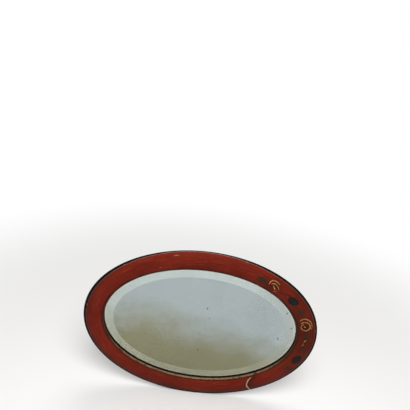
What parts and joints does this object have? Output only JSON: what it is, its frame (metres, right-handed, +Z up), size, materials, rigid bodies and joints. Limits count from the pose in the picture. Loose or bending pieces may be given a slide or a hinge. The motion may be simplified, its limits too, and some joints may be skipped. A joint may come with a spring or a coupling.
{
  "type": "oval wall mirror",
  "caption": "Landscape oval wall mirror: red lacquered cushion frame with painted sprays at one end, gilt sight edge, bevelled glass, screwed backboard and swinging ring hangers.",
  "frame": {"origin": "centre of the backboard's rear face, which lies on the wall", "axes": "+Y points into the wall, so the mirror faces -Y; +Z is up; +X runs along the long axis to the end with the painted sprays"},
  "size_m": [0.7, 0.027, 0.51],
  "materials": {
    "frame_wood": "old red lacquer over a gessoed wood, dark edge, gilt sight edge",
    "bare_wood": "bare aged softwood",
    "plate_glass": "polished, ground bevel",
    "silver": "aged silvering with dark specks",
    "board_wood": "aged thin board",
    "paper": "brown paper",
    "screw_steel": "dull steel",
    "hanger_brass": "aged brass plate"
  },
  "bodies": {
    "mirror": {"frame_top_rail": "frame_wood", "frame_bottom_rail": "frame_wood", "frame_left_end": "frame_wood", "frame_right_end": "frame_wood", "joint_key_top_right": "bare_wood", "joint_key_top_left": "bare_wood", "joint_key_bottom_left": "bare_wood", "joint_key_bottom_right": "bare_wood", "mirror_glass": "plate_glass", "silvering": "silver", "glazing_blocks": "bare_wood", "backboard": "board_wood", "backing_paper": "paper", "backboard_screws": "screw_steel", "hanger_strap_left": "hanger_brass", "hanger_strap_right": "hanger_brass", "hanger_screws": "screw_steel"},
    "ring_left": {"hanger_ring_left": "hanger_brass"},
    "ring_right": {"hanger_ring_right": "hanger_brass"}
  },
  "joints": [
    {"name": "ring_left_swing", "type": "hinge", "parent": "mirror", "child": "ring_left", "pos_m": [-0.30907, -0.00262, 0.078], "axis": [1, 0, 0], "range_deg": [0, 180]},
    {"name": "ring_right_swing", "type": "hinge", "parent": "mirror", "child": "ring_right", "pos_m": [0.30907, -0.00262, 0.078], "axis": [1, 0, 0], "range_deg": [0, 180]}
  ]
}
